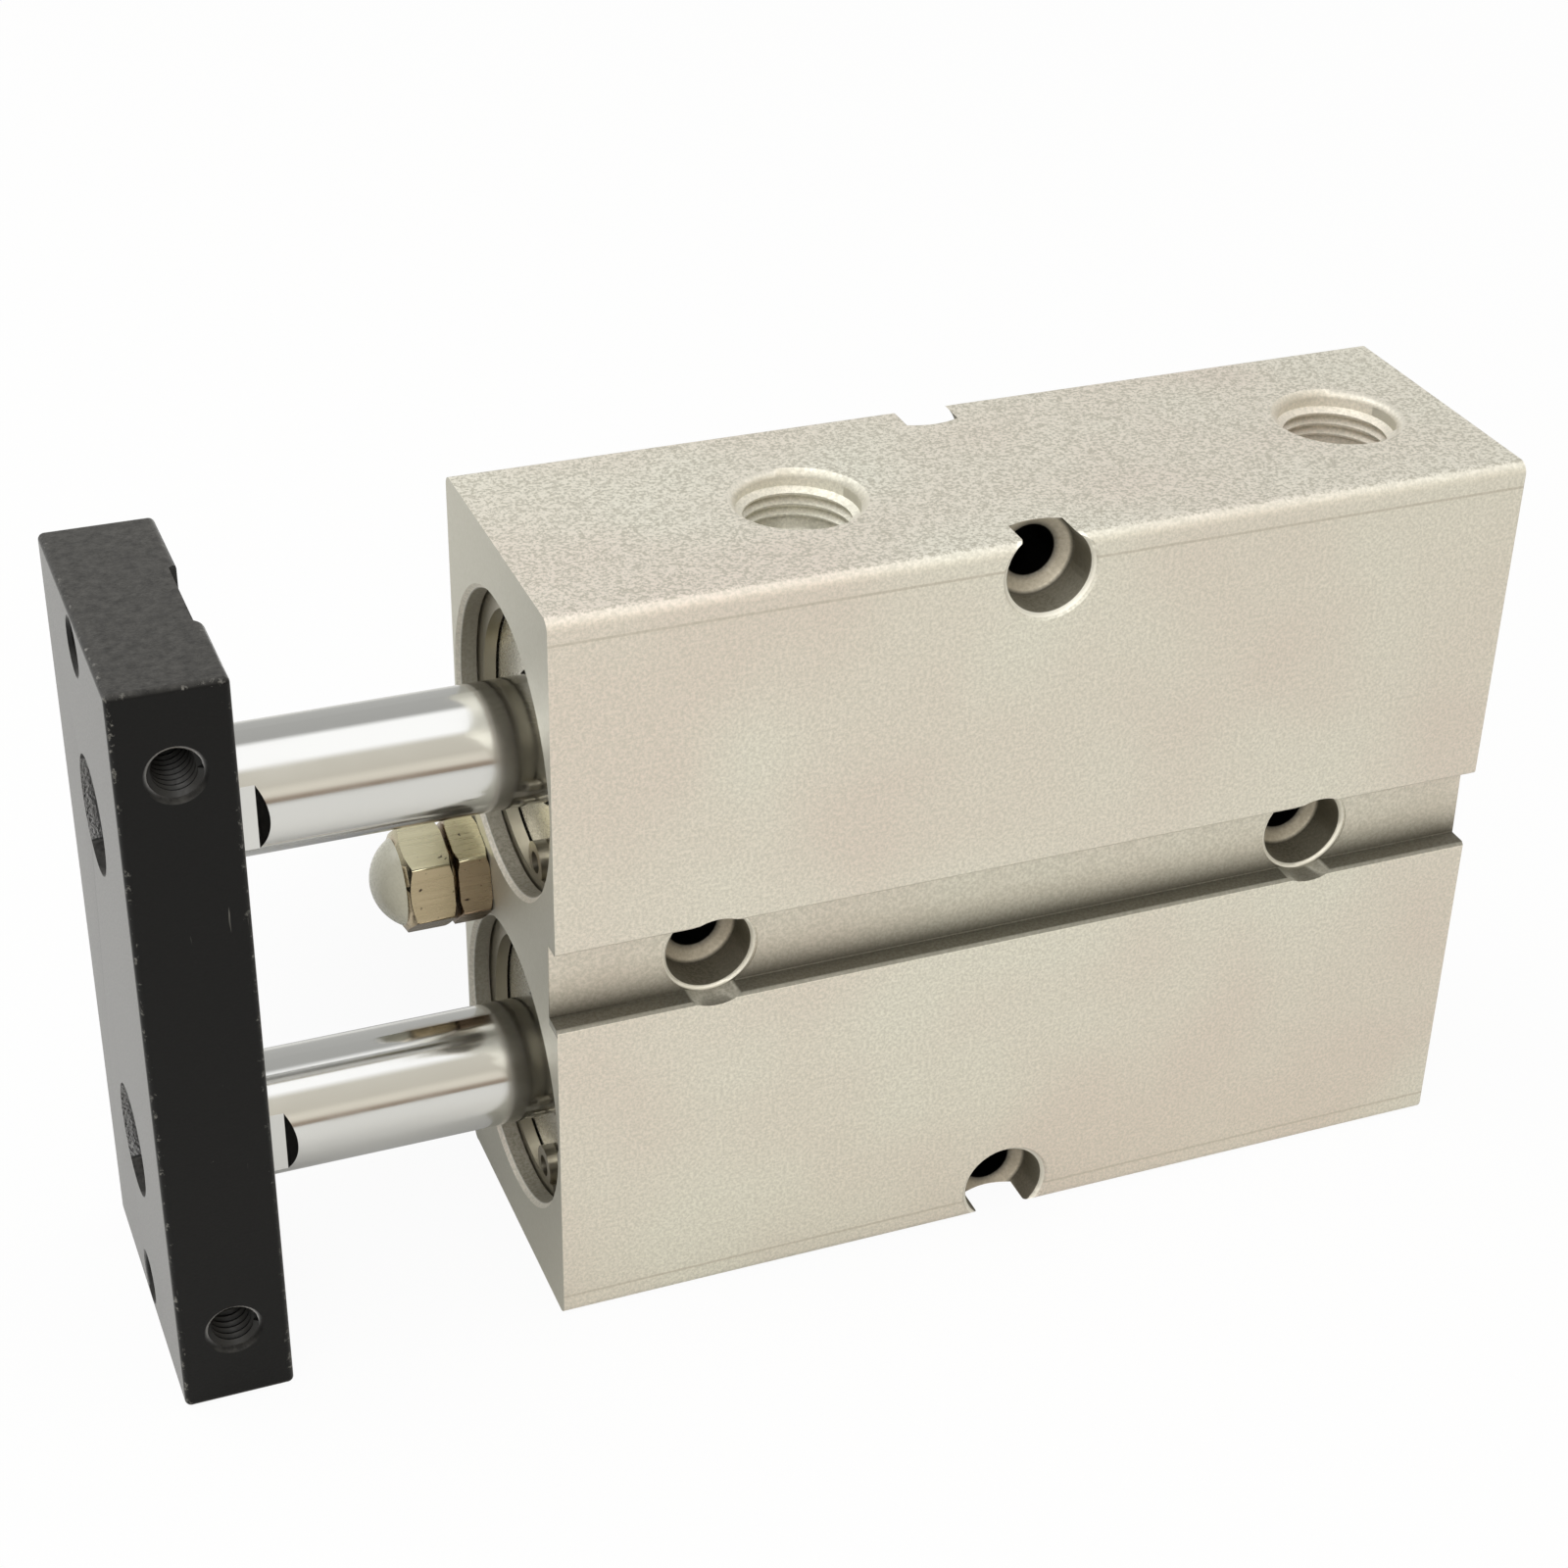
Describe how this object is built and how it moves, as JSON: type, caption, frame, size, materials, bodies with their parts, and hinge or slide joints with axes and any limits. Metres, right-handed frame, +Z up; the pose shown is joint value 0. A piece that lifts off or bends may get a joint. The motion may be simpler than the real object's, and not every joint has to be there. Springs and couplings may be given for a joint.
{
  "type": "guided pneumatic cylinder",
  "caption": "Twin-rod guided air cylinder: rectangular body, two chromed rods tied by an end plate, adjustable stop bolt, two ports on one edge.",
  "frame": {"origin": "centre of the body's lower narrow face, on which it stands", "axes": "+X along the rods from the end plate to the body's rear, +Y across the body's thickness, +Z up through the two rod axes to the ports"},
  "size_m": [0.112, 0.0264, 0.064],
  "materials": {
    "body_aluminium": "fine blasted and clear anodised, warm pale grey",
    "plate_black": "matt black anodised",
    "cover_aluminium": "turned, satin",
    "rod_chrome": "hard chromed, ground and polished",
    "nickel_steel": "nickel plated",
    "circlip_steel": "phosphated spring steel",
    "screw_black": "black oxide",
    "bush_bronze": "sintered bronze",
    "seal_rubber": "nitrile rubber",
    "bumper_urethane": "polyurethane",
    "bumper_pale": "pale polyurethane, satin",
    "wear_ring_resin": "acetal resin",
    "magnet_ferrite": "plastic-bonded ferrite"
  },
  "bodies": {
    "cylinder": {"body": "body_aluminium", "lock_nut": "nickel_steel", "stop_bolt": "nickel_steel", "stop_bumper": "bumper_pale", "rod_cover_upper": "cover_aluminium", "rod_bush_upper": "bush_bronze", "rod_seal_upper": "seal_rubber", "front_o_ring_upper": "seal_rubber", "front_circlip_upper": "circlip_steel", "rear_cover_upper": "cover_aluminium", "rear_bumper_upper": "bumper_urethane", "rear_o_ring_upper": "seal_rubber", "rear_circlip_upper": "circlip_steel", "rod_cover_lower": "cover_aluminium", "rod_bush_lower": "bush_bronze", "rod_seal_lower": "seal_rubber", "front_o_ring_lower": "seal_rubber", "front_circlip_lower": "circlip_steel", "rear_cover_lower": "cover_aluminium", "rear_bumper_lower": "bumper_urethane", "rear_o_ring_lower": "seal_rubber", "rear_circlip_lower": "circlip_steel"},
    "carriage": {"end_plate": "plate_black", "plate_screw_upper": "screw_black", "guide_rod_upper": "rod_chrome", "piston_upper": "cover_aluminium", "wear_ring_upper": "wear_ring_resin", "piston_seal_upper": "seal_rubber", "magnet_upper": "magnet_ferrite", "magnet_washer_upper": "cover_aluminium", "piston_bumper_upper": "bumper_urethane", "piston_nut_upper": "nickel_steel", "plate_screw_lower": "screw_black", "guide_rod_lower": "rod_chrome", "piston_lower": "cover_aluminium", "wear_ring_lower": "wear_ring_resin", "piston_seal_lower": "seal_rubber", "magnet_lower": "magnet_ferrite", "magnet_washer_lower": "cover_aluminium", "piston_bumper_lower": "bumper_urethane", "piston_nut_lower": "nickel_steel"}
  },
  "joints": [
    {"name": "rod_slide", "type": "slide", "parent": "cylinder", "child": "carriage", "axis": [-1, 0, 0], "range_m": [-0.0133, 0.0066]}
  ]
}
